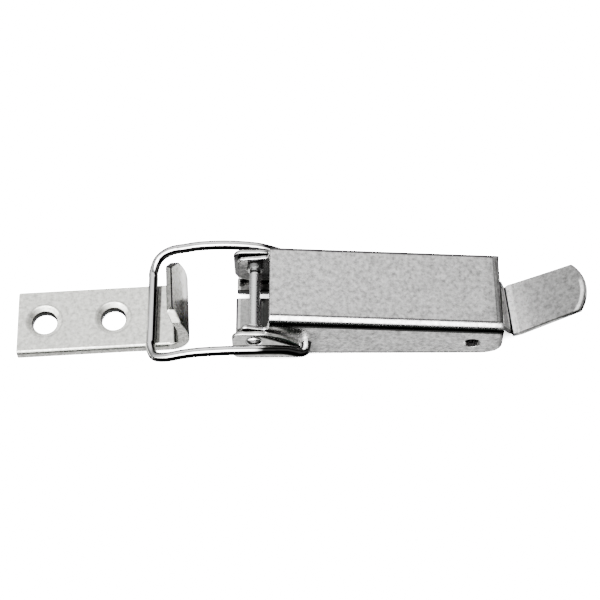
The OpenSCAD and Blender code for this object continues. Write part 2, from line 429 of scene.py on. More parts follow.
# Lever

def top_height(x):
    """Height of the lever's sloping top."""
    return LEVER_TOP - (x - LEVER_TOP_X) * math.tan(LEVER_SLOPE)


def sloping_block(name, inset):
    """The lever's box with its sloping top, drawn in by inset, and its long edges rounded."""
    left = -SPARE
    right = LEVER_END + SPARE
    half = LEVER_HALF - inset
    obj = block(name, (left, -half, -SPARE), (right, half, 0))
    edit(obj)
    for x in (left, right):
        pick(obj, "verts", lambda v: v.co.z > -1 and abs(v.co.x - x) < NEAR)
        bpy.ops.transform.translate(value=(0, 0, top_height(x) - inset / math.cos(LEVER_SLOPE)))
    done()
    for side, bend in ((-1, LEVER_BEND), (1, LEVER_BACK_BEND)):
        round_edges(obj, lambda e: middle(e).z > 1 and span(e, "x") > LEVER_END and
                    middle(e).y * side > half - 0.01, bend - inset)
    return obj


def lever_shell():
    """The folded sheet of the lever: top, walls with their ears, and the wall at its end."""
    lever = sloping_block("lever_shell", 0)
    outline = [
        (LEVER_TOP_X, LEVER_TOP + 1, 0),
        (LEVER_END, LEVER_TOP + 1, 0),
        (LEVER_END, LEVER_FOOT, LEVER_CORNER),
        (EAR_FOOT_X, LEVER_FOOT, 0),
        (EAR_FOOT_X, EAR_FOOT, 0),
        (EAR_FOOT_LEFT, EAR_FOOT, 0),
        (EAR_LEFT, EAR_LEFT_FOOT, 0),
        (EAR_LEFT, EAR_TOP, EAR_CORNER),
        (LEVER_TOP_X - WALL_LEAN, EAR_TOP, 0.8),
    ]
    combine(lever, slab("outline", outline, LEVER_HALF + 1), "INTERSECT")
    round_edges(lever, lambda e: middle(e).x > LEVER_END - NEAR and middle(e).z > END_WALL_Z and
                span(e, "z") < NEAR, LEVER_END_BEND)
    hollow = sloping_block("hollow", LEVER_T)
    combine(hollow, block("end", (-CUT, -CUT, -CUT), (LEVER_END - LEVER_T, CUT, CUT)), "INTERSECT")
    combine(lever, hollow, "DIFFERENCE")
    gap = block("gap", (LEVER_END - 2, -LEVER_HALF + LEVER_T, -1),
                (LEVER_END + 2, LEVER_HALF - LEVER_T, END_WALL_Z))
    combine(lever, gap, "DIFFERENCE")
    return lever


def tab_turn():
    """The finger tab's rise and turn from level."""
    return Matrix.Rotation(TAB_TURN, 3, "Z") @ Matrix.Rotation(-TAB_RISE, 3, "Y")


def tab_flat():
    """The finger tab as a flat with a raised root and a rounded end, not yet turned into place."""
    tab = flat_sheet(TAB_ROOT[0][0], TAB_LEN, TAB_HALF)
    edit(tab, "EDGE")
    pick(tab, "edges", lambda e: middle(e).x > TAB_LEN - NEAR)
    bpy.ops.mesh.subdivide(number_cuts=15)
    for at, height in TAB_ROOT[1:]:
        pick_all()
        bpy.ops.mesh.bisect(plane_co=(at, 0, 0), plane_no=(1, 0, 0))
    for at, height in TAB_ROOT[:-1]:
        pick(tab, "verts", lambda v: abs(v.co.x - at) < 0.01)
        bpy.ops.transform.translate(value=(0, 0, height))
    done()
    for vertex in tab.data.vertices:
        if vertex.co.x > TAB_LEN - NEAR:
            share = (TAB_HALF - vertex.co.y) / (2 * TAB_HALF)
            vertex.co.y += TAB_TAPER * share * TAB_FRONT_SHARE
            rise = math.sqrt(TAB_END_R ** 2 - (vertex.co.y - TAB_END_Y) ** 2)
            vertex.co.x = TAB_LEN - TAB_END_R + rise
    return tab


def add_web(tab, fold):
    """The web, which rises from the tab's fold to the lever's end wall and is wider there."""
    web_top = Vector((LEVER_END - LEVER_T / 2, 0, END_WALL_Z + LEVER_T / 2))
    pick(tab, "edges", lambda e: (middle(e) - fold).length < NEAR)
    bpy.ops.mesh.extrude_edges_move(TRANSFORM_OT_translate={"value": web_top - fold})
    mesh = bmesh.from_edit_mesh(tab.data)
    for vertex in mesh.verts:
        if vertex.select:
            vertex.co = web_top + Vector((0, WEB_BACK if vertex.co.y > 0 else WEB_FRONT, 0))
    bmesh.update_edit_mesh(tab.data)
    pick(tab, "edges", lambda e: (middle(e) - fold).length < NEAR)
    bpy.ops.mesh.bevel(offset=FOLD_R, segments=5, profile=0.5, affect="EDGES")


def make_tab():
    """The finger tab with its fold and its rolled rim, and the web up to the lever's end wall."""
    tab = tab_flat()
    start, lift = TAB_ROOT[0]
    fold = TAB_FOLD + tab_turn() @ Vector((start, 0, lift))
    settle(tab, TAB_FOLD, (0, -TAB_RISE, TAB_TURN))
    edit(tab, "EDGE")
    add_web(tab, fold)
    # The rim is rolled down from the fold on
    pick(tab, "edges", lambda e: e.is_boundary and min(v.co.x for v in e.verts) > fold.x - 0.3 and
         middle(e).x > fold.x + 0.5)
    down = tab_turn() @ Vector((0, 0, -TAB_RIM))
    bpy.ops.mesh.extrude_edges_move(TRANSFORM_OT_translate={"value": down})
    face_out()
    sheet = thicken(tab, LEVER_T, 0)
    sheet.use_even_offset = True
    use(tab, sheet)
    return tab


def make_lever(material):
    """The lever: folded sheet, finger tab and holes."""
    lever = lever_shell()
    for vertex in lever.data.vertices:
        if vertex.co.x > LEVER_END - END_STRETCH:
            vertex.co.x -= END_SKEW * (vertex.co.y + LEVER_HALF) / (2 * LEVER_HALF)
    for side, move in ((1, -EAR_BACK_DROP), (-1, EAR_FRONT_RISE)):
        edit(lever)
        pick(lever, "verts", lambda v: v.co.z > EAR_TOP - 0.4 and v.co.x < LEVER_TOP_X - 2 and
             v.co.y * side > 0)
        bpy.ops.transform.translate(value=(0, 0, move))
        done()
    combine(lever, make_tab(), "UNION")
    holes = ((0, PIN_Z, PIN_R + RUN_GAP), (*BAIL_HOLE, WIRE_R + RUN_GAP), LOCK_HOLE)
    for x, z, r in holes:
        cross_hole(lever, x, z, r)
    soften_rims(lever, lambda place: place.x < LEVER_END - 2 and
                all(math.hypot(place.x - x, place.z - z) > r + 0.4 for x, z, r in holes), RIM_ROUND)
    # The edges of the tab's root are too short to be rounded
    soften_rims(lever, lambda place: place.x > TAB_FOLD.x + TAB_ROOT[-1][0], TAB_RIM_ROUND)
    finish_piece(lever, "lever_sheet", "lever", "lever", material, edge=0.06)


# Base

def base_shell():
    """The pressed channel of the base, with its ears cut to their outline."""
    base = block("base_shell", (BASE_LEFT, -BASE_HALF, 0), (BASE_EAR_RIGHT, BASE_HALF, BASE_BLANK_TOP))
    round_edges(base, lambda e: middle(e).z < NEAR and span(e, "x") > 1, BASE_BEND, 5)
    inner = block("inner", (-CUT, BASE_T - BASE_HALF, BASE_T), (CUT, BASE_HALF - BASE_T, CUT))
    round_edges(inner, lambda e: middle(e).z < BASE_T + NEAR and span(e, "x") > 1, BASE_BEND - BASE_T, 4)
    combine(base, inner, "DIFFERENCE")
    outline = [
        (BASE_LEFT, 0, 3.2),
        (BASE_EAR_RIGHT, 0, 0),
        (BASE_EAR_RIGHT, 6.6, 1.2),
        (6.4, 10.2, 7.0),
        (2.2, BASE_EAR_TOP, 6.0),
        (BASE_LEFT, BASE_EAR_TOP, 2.2),
    ]
    combine(base, slab("outline", outline, BASE_HALF + 1), "INTERSECT")
    return base


def make_base(material):
    """The base: channel, ears, tongue between two slots, and the floor with its screw holes."""
    base = base_shell()
    slot_half = (SLOT_OUT - TONGUE_HALF) / 2
    # The round of a slot's end stops just short of meeting itself
    slot_round = slot_half - 0.01
    for side in (-1, 1):
        beside = block("beside", (TONGUE_LEFT + SIDE_BACK, side * SIDE_Y - SIDE_HALF, 0),
                       (BASE_EAR_RIGHT, side * SIDE_Y + SIDE_HALF, BASE_T))
        combine(base, beside, "UNION")
        y = side * (TONGUE_HALF + slot_half)
        slot = block("slot", (-CUT, y - slot_half, -1), (SLOT_END, y + slot_half, 3))
        round_edges(slot, lambda e: middle(e).x > SLOT_END - NEAR and span(e, "z") > 1, slot_round, 6)
        combine(base, slot, "DIFFERENCE")
    tongue = block("tongue", (TONGUE_LEFT, -TONGUE_HALF, 0), (BASE_EAR_RIGHT, TONGUE_HALF, BASE_T))
    combine(base, tongue, "UNION")
    floor = block("floor", (BASE_EAR_RIGHT - 1, -BASE_FLOOR_HALF, 0),
                  (BASE_FLOOR_END, BASE_FLOOR_HALF, BASE_T))
    round_edges(floor, lambda e: middle(e).x > BASE_FLOOR_END - NEAR and span(e, "z") > 0.5,
                BASE_FLOOR_CORNER)
    combine(base, floor, "UNION")
    for x in BASE_HOLES:
        combine(base, rod("hole", (x, 0, -2), (x, 0, 4), SCREW_R), "DIFFERENCE")
    cross_hole(base, 0, PIN_Z, PIN_R + RUN_GAP)
    soften_rims(base, lambda place: place.z > 4 and abs(place.y) > BASE_HALF - BASE_T - NEAR and
                math.hypot(place.x, place.z - PIN_Z) > PIN_R + 0.3, RIM_ROUND)
    finish_piece(base, "base_channel", "base", "base", material, edge=0.08)


# Catch plate

def plate_sheet():
    """The catch plate without its thickness: the strip, the curl and the curved lip."""
    bend_x = PLATE_LEN - HOOK_BEND
    lip_z = HOOK_BEND + HOOK_STRAIGHT
    lip_angle = math.asin((HOOK_TOP - lip_z) / HOOK_LIP_R)
    plate = flat_sheet(0, bend_x, PLATE_HALF)
    for vertex in plate.data.vertices:
        if vertex.co.x < NEAR and vertex.co.y < 0:
            vertex.co.x -= PLATE_SKEW
    edit(plate, "EDGE")
    pick(plate, "edges", lambda e: middle(e).x > bend_x - NEAR)
    bpy.ops.mesh.spin(steps=ROUND_STEPS, angle=math.pi / 2, center=(bend_x, 0, HOOK_BEND), axis=(0, 1, 0))
    bpy.ops.mesh.extrude_edges_move(TRANSFORM_OT_translate={"value": (0, 0, HOOK_STRAIGHT)})
    bpy.ops.mesh.spin(steps=ROUND_STEPS, angle=lip_angle, center=(PLATE_LEN - HOOK_LIP_R, 0, lip_z),
                      axis=(0, 1, 0))
    pick_all()
    bpy.ops.mesh.remove_doubles(threshold=0.001)
    face_out()
    return plate


def thicken_plate(plate):
    """Gives the strip its full thickness, which falls to the lip's towards the top of the hook."""
    lip_z = HOOK_BEND + HOOK_STRAIGHT
    group = plate.vertex_groups.new(name="full_thickness")
    for vertex in plate.data.vertices:
        share = max(0.0, (vertex.co.z - lip_z) / (HOOK_TOP - lip_z))
        group.add([vertex.index], 1 - share, "REPLACE")
    up = sum(p.normal.z for p in plate.data.polygons if p.center.z < 0.01) > 0
    sheet = thicken(plate, PLATE_T, 1 if up else -1)
    sheet.vertex_group = group.name
    sheet.thickness_vertex_group = LIP_T / PLATE_T
    use(plate, sheet)


def make_catch_plate(material):
    """The catch plate: strip with a rolled front edge and two countersunk holes, and its hook."""
    plate = plate_sheet()
    thicken_plate(plate)
    edit(plate)
    for side in (-1, 1):
        pick_all()
        bpy.ops.mesh.bisect(plane_co=(0, side * PLATE_HALF, HOOK_TOP - LIP_CUT[1]),
                            plane_no=(0, side * LIP_CUT[1], LIP_CUT[0]), use_fill=True, clear_outer=True)
    done()
    round_edges(plate, lambda e: abs(middle(e).z - PLATE_T) < 0.05 and span(e, "x") > 5 and
                abs(abs(middle(e).y) - PLATE_HALF) < 0.05, PLATE_ROLL, 5)
    wider = (SINK_R - SCREW_R) / SINK_DEPTH
    for x in PLATE_HOLES:
        combine(plate, rod("hole", (x, 0, -2), (x, 0, 5), SCREW_R), "DIFFERENCE")
        sink = rod("sink", (x, 0, PLATE_T - 1.5 * SINK_DEPTH), (x, 0, PLATE_T + SINK_DEPTH),
                   SINK_R - 1.5 * SINK_DEPTH * wider, SINK_R + SINK_DEPTH * wider)
        combine(plate, sink, "DIFFERENCE")
    settle(plate, (*PLATE_PLACE, 0), (0, 0, PLATE_TURN))
    finish_piece(plate, "catch_plate_strip", "catch_plate", "base", material, edge=0.3)


# Pivot pin

def make_pin(material):
    """The riveted cross pin, turned from one bar: collars inside the ears, domed heads outside."""
    inner = LEVER_HALF - LEVER_T - COLLAR_GAP
    head = BASE_HALF + RIVET_GAP
    half = [
        (0, SHANK_R),
        (inner - COLLAR_WIDE, SHANK_R),
        (inner - COLLAR_WIDE, COLLAR_R - COLLAR_EDGE),
        (inner - COLLAR_WIDE + COLLAR_EDGE, COLLAR_R),
        (inner - COLLAR_EDGE, COLLAR_R),
        (inner, COLLAR_R - COLLAR_EDGE),
        (inner, PIN_R),
        (head, PIN_R),
        (head, RIVET_R - COLLAR_EDGE),
    ]
    for angle in range(4, 88, 12):
        out = math.radians(angle)
        half.append((head + RIVET_H * math.sin(out), RIVET_R * math.cos(out)))
    stations = [(-y, r) for y, r in reversed(half[1:])] + half
    first_y, first_r = stations[0]
    bpy.ops.mesh.primitive_circle_add(vertices=PIN_SIDES, radius=first_r, fill_type="NGON")
    pin = bpy.context.object
    settle(pin, (0, first_y, PIN_Z), (math.pi / 2, 0, 0))
    edit(pin)
    pick_all()
    for (y0, r0), (y1, r1) in zip(stations, stations[1:]):
        bpy.ops.mesh.extrude_region_move(TRANSFORM_OT_translate={"value": (0, y1 - y0, 0)})
        bpy.ops.transform.resize(value=(r1 / r0, 1, r1 / r0), center_override=(0, y1, PIN_Z))
    face_out()
    finish_piece(pin, "pivot_pin_turned", "pivot_pin", "base", material, edge=0)


# Bail

def smooth_curve(points, steps):
    """A smooth curve through the points, with this many steps between two of them."""
    path = []
    for i in range(len(points) - 1):
        a, b, c = points[max(i - 1, 0)], points[i], points[i + 1]
        d = points[min(i + 2, len(points) - 1)]
        for k in range(steps):
            t = k / steps
            path.append((2 * b + (c - a) * t + (2 * a - 5 * b + 4 * c - d) * t * t +
                         (3 * b - a - 3 * c + d) * t ** 3) / 2)
    return path + [points[-1]]


def bail_path():
    """The middle line of the wire, from one end round the loop to the other."""
    hole_x, hole_z = BAIL_HOLE
    cut_off = 1 - math.cos(math.radians(45))
    soft = BAIL_CORNER * cut_off
    shoulder = BAIL_TURN * cut_off
    side = [
        (BAR_X, 0, BAR_Z),
        (BAR_X, BAIL_HALF - BAIL_CORNER - 2, BAR_Z),
        (BAR_X, BAIL_HALF - BAIL_CORNER, BAR_Z + 0.1),
        (BAR_X + soft, BAIL_HALF - soft, BAR_Z + 1.2),
        (BAR_X + BAIL_CORNER, BAIL_HALF, BAR_Z + 2.9),
        (-15.5, BAIL_HALF, 7.9),
        (-11.8, BAIL_HALF, 8.9),
        (-6, BAIL_HALF - 0.1, 9.4),
        (0, BAIL_HALF - 0.4, 9.1),
        (3.6, BAIL_LEG + 0.6, 8.3),
        (7, BAIL_LEG + 0.1, 7.1),
        (hole_x - BAIL_TURN, BAIL_LEG, hole_z + 0.45),
        (hole_x - shoulder, BAIL_LEG - shoulder, hole_z + 0.1),
        (hole_x, BAIL_LEG - BAIL_TURN, hole_z),
        (hole_x, LEVER_HALF - LEVER_T - 0.8, hole_z),
    ]
    points = [Vector((x, -y, z)) for x, y, z in reversed(side[1:])] + [Vector(p) for p in side]
    return smooth_curve(points, 6)


def make_bail(material):
    """The bail: one loop of spring wire with its ends turned into the lever's walls."""
    path = bail_path()
    data = bpy.data.curves.new("bail_wire", "CURVE")
    data.dimensions = "3D"
    data.bevel_depth = WIRE_R
    data.bevel_resolution = 6
    data.use_fill_caps = True
    spline = data.splines.new("POLY")
    spline.points.add(len(path) - 1)
    for point, place in zip(spline.points, path):
        point.co = (*place, 1)
    curve = bpy.data.objects.new("bail_wire", data)
    bpy.context.scene.collection.objects.link(curve)
    only(curve)
    bpy.ops.object.convert(target="MESH")
    finish_piece(bpy.context.object, "bail_wire", "bail", "bail", material, edge=0)


# What the masks share. A stop is a place and a level, and a place on a piece is in millimetres

def coordinate(tree, name, kind="Object"):
    """One coordinate of the piece, or of its faces' direction."""
    place = add_node(tree, "ShaderNodeTexCoord").outputs[kind]
    return add_node(tree, "ShaderNodeSeparateXYZ", {"Vector": place}).outputs[name]


def slant(tree, other, slope, name):
    """One coordinate of the piece, plus another times a slope."""
    added = add_node(tree, "ShaderNodeMath", {0: coordinate(tree, other), 1: slope,
                                              2: coordinate(tree, name)}, operation="MULTIPLY_ADD")
    return added.outputs["Value"]


def from_middle(tree):
    """Distance from the part's middle plane."""
    distance = add_node(tree, "ShaderNodeMath", {0: coordinate(tree, "Y")}, operation="ABSOLUTE")
    return distance.outputs["Value"]


def levels(tree, value, *stops):
    """A value turned into a level along straight lines between its stops."""
    low, first = stops[0]
    high, last = stops[-1]
    if len(stops) == 2:
        line = add_node(tree, "ShaderNodeMapRange", {"Value": value, "From Min": low, "From Max": high,
                                                     "To Min": first, "To Max": last})
        return line.outputs["Result"]
    share = add_node(tree, "ShaderNodeMapRange", {"Value": value, "From Min": low, "From Max": high})
    ramp = add_node(tree, "ShaderNodeValToRGB", {"Fac": share.outputs["Result"]},
                    stops=[((at - low) / (high - low), [level] * 3) for at, level in stops])
    return add_node(tree, "ShaderNodeRGBToBW", {"Color": ramp.outputs["Color"]}).outputs["Val"]


def measured(tree, value, *stops, start=0):
    """A length turned into a level, with the places of its stops in millimetres past a start."""
    return levels(tree, value, *[((start + at) * MM, level) for at, level in stops])


def by_place(tree, name, *stops):
    """A level that follows one coordinate of the piece."""
    return measured(tree, coordinate(tree, name), *stops)


def by_turn(tree, name, *stops):
    """A level that follows one coordinate of where the faces point."""
    return levels(tree, coordinate(tree, name, "Normal"), *stops)


def past_crease(tree, *stops):
    """A level that follows the distance past the tab's fold."""
    return measured(tree, slant(tree, "Y", math.tan(TAB_TURN), "X"), *stops, start=TAB_CREASE)


def past_end(tree, *stops):
    """A level that follows the distance past the lever's skew end."""
    return measured(tree, slant(tree, "Y", END_SKEW / (2 * LEVER_HALF), "X"), *stops,
                    start=LEVER_END - END_SKEW / 2)


def product(tree, *factors):
    """All factors multiplied."""
    result = factors[0]
    for factor in factors[1:]:
        step = add_node(tree, "ShaderNodeMath", {0: result, 1: factor}, operation="MULTIPLY")
        result = step.outputs["Value"]
    return result


def where(tree, level, *masks):
    """The level where all masks hold, and 1 elsewhere."""
    mask = product(tree, *masks)
    return add_node(tree, "ShaderNodeMix", {"Factor": mask, "A": 1.0, "B": level}).outputs["Result"]


# The finish of all the steel

# Blotches cover this part of the noise's range
BLOTCH_LOW = 0.3
BLOTCH_HIGH = 0.7
BLOTCH_RELIEF = 0.004


def steel(name, colour, roughness, blotch, mottle, shades=(), dulls=(), polishes=()):
    """A stainless finish with blotches in its tone, gloss and relief. Shades paint light and shade into the
    tone of some faces, dulls leave some of them a share of the bare metal, and polishes are factors on
    roughness."""
    material = bpy.data.materials.new(name)
    material.use_nodes = True
    tree = material.node_tree
    shader = tree.nodes["Principled BSDF"]
    # Dull steel scatters light and has no gloss of its own
    shader.inputs["Specular IOR Level"].default_value = 0.0
    shader.inputs["Metallic"].default_value = 1.0
    if dulls:
        bare = product(tree, *[dull(tree) for dull in dulls])
        tree.links.new(bare, shader.inputs["Metallic"])
    # The grain of such steel is about 0.02 mm wide, too fine to show, so it is drawn 0.4 to 0.9 mm wide
    place = add_node(tree, "ShaderNodeTexCoord").outputs["Object"]
    blotches = add_node(tree, "ShaderNodeTexNoise", {"Vector": place, "Scale": 1 / (blotch * MM),
                                                     "Detail": 4.0, "Roughness": 0.65})
    noise = blotches.outputs["Fac"]
    tone = levels(tree, noise, (BLOTCH_LOW, 1 - mottle), (BLOTCH_HIGH, 1 + mottle))
    tone = product(tree, tone, *[shade(tree) for shade in shades])
    tint = add_node(tree, "ShaderNodeVectorMath", {0: srgb(colour)[:3], "Scale": tone},
                    operation="SCALE")
    tree.links.new(tint.outputs["Vector"], shader.inputs["Base Color"])
    gloss = levels(tree, noise, (BLOTCH_LOW, roughness * 1.2), (BLOTCH_HIGH, roughness * 0.8))
    gloss = product(tree, gloss, *[polish(tree) for polish in polishes])
    tree.links.new(gloss, shader.inputs["Roughness"])
    bump = add_node(tree, "ShaderNodeBump", {"Height": noise, "Distance": BLOTCH_RELIEF * MM})
    tree.links.new(bump.outputs["Normal"], shader.inputs["Normal"])
    return material


def inner_shade(tree, half, top, end, mouth, deep):
    """A shade for inner faces: those within half of the middle, under the sloping top and left of the
    end. The mouth is the shade at the open left end, and deep is the one further in."""
    height = slant(tree, "X", math.tan(LEVER_SLOPE), "Z")
    limits = ((from_middle(tree), half), (height, top), (coordinate(tree, "X"), end))
    tests = [add_node(tree, "ShaderNodeMath", {0: value, 1: limit * MM}, operation="LESS_THAN")
             for value, limit in limits]
    shade = by_place(tree, "X", (1.0, mouth), (1.6, 0.13), (6, 0.13), (9, deep))
    return where(tree, shade, *[test.outputs["Value"] for test in tests])


# Shades, dulls and polishes of the lever

def under_cover(tree):
    """The inside of the lever, where little light falls."""
    return inner_shade(tree, LEVER_HALF - LEVER_T + 0.06, top_height(0) - LEVER_T + 0.1,
                       LEVER_END - LEVER_T - 0.1, 0.22, 0.13)


def fold_shade(tree):
    """Painted shade in the tab's fold, and a painted highlight right beside it, fainter towards the tab's
    end.
    """
    return past_crease(tree, (-0.45, 1.0), (-0.35, 0.02), (0.2, 0.02), (0.35, 1.3), (1.5, 1.1), (3, 0.88),
                       (6, 0.64), (10, 0.5), (17, 0.45))


def fold_web_shade_dull(tree):
    """Painted shade: the web and the fold of the finger tab keep little of the bare metal, which darkens
    them.
    """
    web = past_crease(tree, (-2.4, 1.0), (-2.1, 0.33), (-0.85, 0.33), (-0.7, 0.8), (-0.5, 0.8), (-0.4, 0.1),
                      (0.2, 0.1), (0.35, 1.0), (1, 1.0))
    low = by_place(tree, "Z", (10.2, 1.0), (10.6, 0.0))
    return where(tree, web, low)


def end_bend_shade_dull(tree):
    """Painted shade: the bend at the lever's end and the end of its front bend keep little of the bare
    metal, which darkens them.
    """
    bend = past_end(tree, (-1.4, 1.0), (-1.2, 0.75), (-0.55, 0.75), (-0.4, 0.3), (-0.2, 0.1), (-0.08, 0.03),
                    (0.02, 0.03), (0.1, 1.0))
    high = by_place(tree, "Z", (8.5, 0.0), (9.0, 1.0))
    front = by_turn(tree, "Y", (-0.85, 0.0), (-0.8, 1.0), (-0.3, 1.0), (-0.2, 0.0), (1.0, 0.0))
    corner = past_end(tree, (-0.7, 0.0), (-0.4, 1.0))
    return product(tree, where(tree, bend, high), where(tree, 0.1, front, corner))


def tab_end_highlight_dull(tree):
    """A painted highlight: a crescent at the tab's rounded end keeps little of the bare metal, so the lamp
    lights it.
    """
    centre = TAB_FOLD + tab_turn() @ Vector((TAB_LEN - TAB_END_R, TAB_END_Y, LEVER_T / 2))
    place = add_node(tree, "ShaderNodeTexCoord").outputs["Object"]
    distance = add_node(tree, "ShaderNodeVectorMath", {0: place, 1: tuple(centre * MM)},
                        operation="DISTANCE")
    ring = measured(tree, distance.outputs["Value"], (7.25, 0.0), (7.5, 1.0), (8.0, 1.0), (8.15, 0.0))
    front = by_place(tree, "Y", (2.4, 1.0), (3.4, 0.0))
    right = by_place(tree, "X", (66, 0.0), (67, 1.0))
    return where(tree, 0.1, ring, front, right)


def tab_end_painted_highlight(tree):
    """The same crescent, painted lighter than the steel round it as a highlight."""
    return levels(tree, tab_end_highlight_dull(tree), (0.1, 2.2), (1.0, 1.0))


def end_shade(tree):
    """Painted shade: the cover is darker beside the bend at its end, and in a line along its front bend."""
    near = past_end(tree, (-3.2, 1.0), (-1.6, 0.82), (-0.85, 0.82), (-0.65, 0.4), (0.02, 0.2), (0.1, 1.0))
    bend = LEVER_BEND - LEVER_HALF
    line = by_place(tree, "Y", (bend - 0.62, 1.0), (bend - 0.5, 0.4), (bend - 0.2, 0.4), (bend - 0.05, 1.0))
    top = by_turn(tree, "Z", (0.9, 0.0), (0.93, 1.0))
    return product(tree, near, where(tree, line, top))


def tab_rim_shade(tree):
    """Painted shade on the sheared front rim of the finger tab, which it leaves grey, and nearly black at
    the tab's root.
    """
    on_tab = past_crease(tree, (0.05, 0.0), (0.25, 1.0))
    away = by_turn(tree, "X", (0.25, 1.0), (0.4, 0.0))
    front = by_turn(tree, "Y", (-1.0, 0.6), (-0.97, 0.6), (-0.9, 0.2), (-0.3, 0.2), (-0.1, 1.0), (1.0, 1.0))
    root = by_place(tree, "X", (TAB_FOLD.x + 0.3, 0.0), (TAB_FOLD.x + 0.4, 1.0), (TAB_FOLD.x + 1.8, 1.0),
                    (TAB_FOLD.x + 2.5, 0.0))
    facing = by_turn(tree, "Y", (-0.8, 1.0), (-0.6, 0.0))
    return product(tree, where(tree, front, on_tab, away), where(tree, 0.05, root, facing))


def rim_shade(tree):
    """Painted shade in places and lines of the lever's walls."""
    ears = by_place(tree, "X", (2.2, 1.0), (3.0, 0.0))
    # Painted shade between the lever's ears and the base's, and on the inner rim of the front ear
    outside = measured(tree, from_middle(tree), (9.2, 0.0), (9.25, 1.0))
    front = by_place(tree, "Y", (0, 1.0), (0.1, 0.0))
    rim = by_place(tree, "Z", (10.5, 0.0), (11, 1.0))
    inward = by_turn(tree, "Y", (0.1, 0.0), (0.25, 1.0))
    # Painted shade at the top of each wall, where it meets its bend
    high = measured(tree, slant(tree, "X", math.tan(LEVER_SLOPE), "Z"), (-0.6, 0.0), (-0.5, 1.0),
                    start=top_height(0) - LEVER_BEND)
    to_front = by_turn(tree, "Y", (-0.9, 1.0), (-0.8, 0.0))
    to_back = by_turn(tree, "Y", (0.1, 0.0), (0.2, 1.0))
    # Painted shade in a dark line along the walls' sheared feet
    foot = by_place(tree, "Z", (1.3, 1.0), (1.45, 0.0))
    right = by_place(tree, "X", (EAR_FOOT_X, 0.0), (EAR_FOOT_X + 1, 1.0))
    return product(tree, where(tree, 0.06, ears, outside), where(tree, 0.04, ears, front, rim, inward),
                   where(tree, 0.02, high, to_front), where(tree, 0.25, high, to_back),
                   where(tree, 0.35, foot, right))


def hole_polish(tree):
    """The wall round the bail's hole, which the wire has rubbed rough."""
    wall = by_turn(tree, "Y", (-0.999, 1.0), (-0.99, 0.0))
    near = by_place(tree, "X", (12.5, 1.0), (14.5, 0.0))
    low = by_place(tree, "Z", (9, 1.0), (11, 0.0))
    return where(tree, 2.4, wall, near, low)


def root_polish(tree):
    """The root of the tab, which the press stretches until it is rough."""
    return past_crease(tree, (0.9, 1.0), (1.4, 2.6), (3.2, 2.6), (5.5, 1.0))


# Shades of the base

def on_floor(tree):
    """The base's floor, dark under the left edge of the lever's top."""
    return inner_shade(tree, BASE_HALF - BASE_T + 0.06, LEVER_TOP, BASE_FLOOR_END, 1.0, 1.0)


def tongue_shade(tree):
    """Painted light and shade on the tongue: darker than the ears, a thin lighter band near its end, dark
    at its very end and under the pin; painted shade on the strip beside it.
    """
    low = by_place(tree, "Z", (BASE_T + 0.1, 1.0), (BASE_T + 0.3, 0.0))
    tongue = measured(tree, coordinate(tree, "X"), (0, 0.04), (0.35, 0.04), (0.45, 1.1), (0.9, 1.1),
                      (1.0, 0.53), (2.5, 0.53), (2.8, 0.4), (14.4, 0.4), start=TONGUE_LEFT)
    beside = by_place(tree, "Y", (4.5, 1.0), (4.6, 0.04), (6.3, 0.04), (6.5, 0.45), (12, 0.45))
    return where(tree, product(tree, tongue, beside), low)


def ear_shade(tree):
    """The inside of the base's back ear, in the dark."""
    inward = by_turn(tree, "Y", (-0.7, 1.0), (-0.5, 0.0))
    back = by_place(tree, "Y", (8, 0.0), (8.5, 1.0))
    return where(tree, by_place(tree, "Z", (8, 0.3), (9.5, 0.05)), inward, back)


# Shades, dulls and polishes of the catch plate

def ring_distance(tree, hole_x):
    """Distance from the axis of one of the plate's holes."""
    centre = Matrix.Rotation(PLATE_TURN, 3, "Z") @ Vector((hole_x, 0, 0)) + Vector((*PLATE_PLACE, 0))
    place = add_node(tree, "ShaderNodeTexCoord").outputs["Object"]
    flat = add_node(tree, "ShaderNodeVectorMath", {0: place, 1: (1, 1, 0)}, operation="MULTIPLY")
    distance = add_node(tree, "ShaderNodeVectorMath", {0: flat.outputs["Vector"], 1: tuple(centre * MM)},
                        operation="DISTANCE")
    return distance.outputs["Value"]


def hole_shade(tree):
    """Painted shade on the screw holes' walls, and a faint darker ring at the edge of each countersink."""
    stops = ((0.0, 0.03), (SCREW_R + 0.1, 0.03), (SCREW_R + 0.3, 1.0), (SINK_R - 0.1, 1.0),
             (SINK_R + 0.05, 0.72), (SINK_R + 0.25, 0.72), (SINK_R + 0.5, 1.0))
    rings = [measured(tree, ring_distance(tree, x), *stops) for x in PLATE_HOLES]
    return product(tree, *rings)


def mouth_shade(tree):
    """The inside of the hook's curl, where no light reaches."""
    inward = by_turn(tree, "X", (-0.7, 1.0), (-0.4, 0.0))
    right = by_place(tree, "X", (-24, 0.0), (-22, 1.0))
    return where(tree, 0.03, inward, right)


def hook_back(tree, low, high):
    """The hook's back, from a height on."""
    right = by_turn(tree, "X", (0.3, 0.0), (0.4, 1.0))
    return product(tree, right, by_place(tree, "Z", (low, 0.0), (high, 1.0)))


def hook_cut_light_and_shade(tree):
    """Painted light on the hook's back and on the face at its end; painted shade on the sheared line
    between them and on the cut corner at the back."""
    edge = product(tree, by_place(tree, "Z", (14.3, 0.0), (14.5, 1.0)),
                   by_turn(tree, "X", (-1.0, 0.0), (-0.5, 0.0), (-0.42, 1.0), (0.7, 1.0), (0.78, 0.0),
                           (1.0, 0.0)))
    end = product(tree, by_place(tree, "Z", (13, 0.0), (13.5, 1.0)),
                  by_turn(tree, "X", (-1.0, 0.0), (-0.7, 0.0), (-0.65, 1.0), (-0.52, 1.0), (-0.5, 0.0),
                          (1.0, 0.0)))
    corner = product(tree, by_turn(tree, "Y", (0.3, 0.0), (0.45, 1.0)),
                     by_place(tree, "Z", (11, 0.0), (11.5, 1.0)))
    return product(tree, where(tree, 0.03, edge), where(tree, 1.45, end), where(tree, 0.05, corner),
                   where(tree, 1.45, hook_back(tree, 4, 5)))


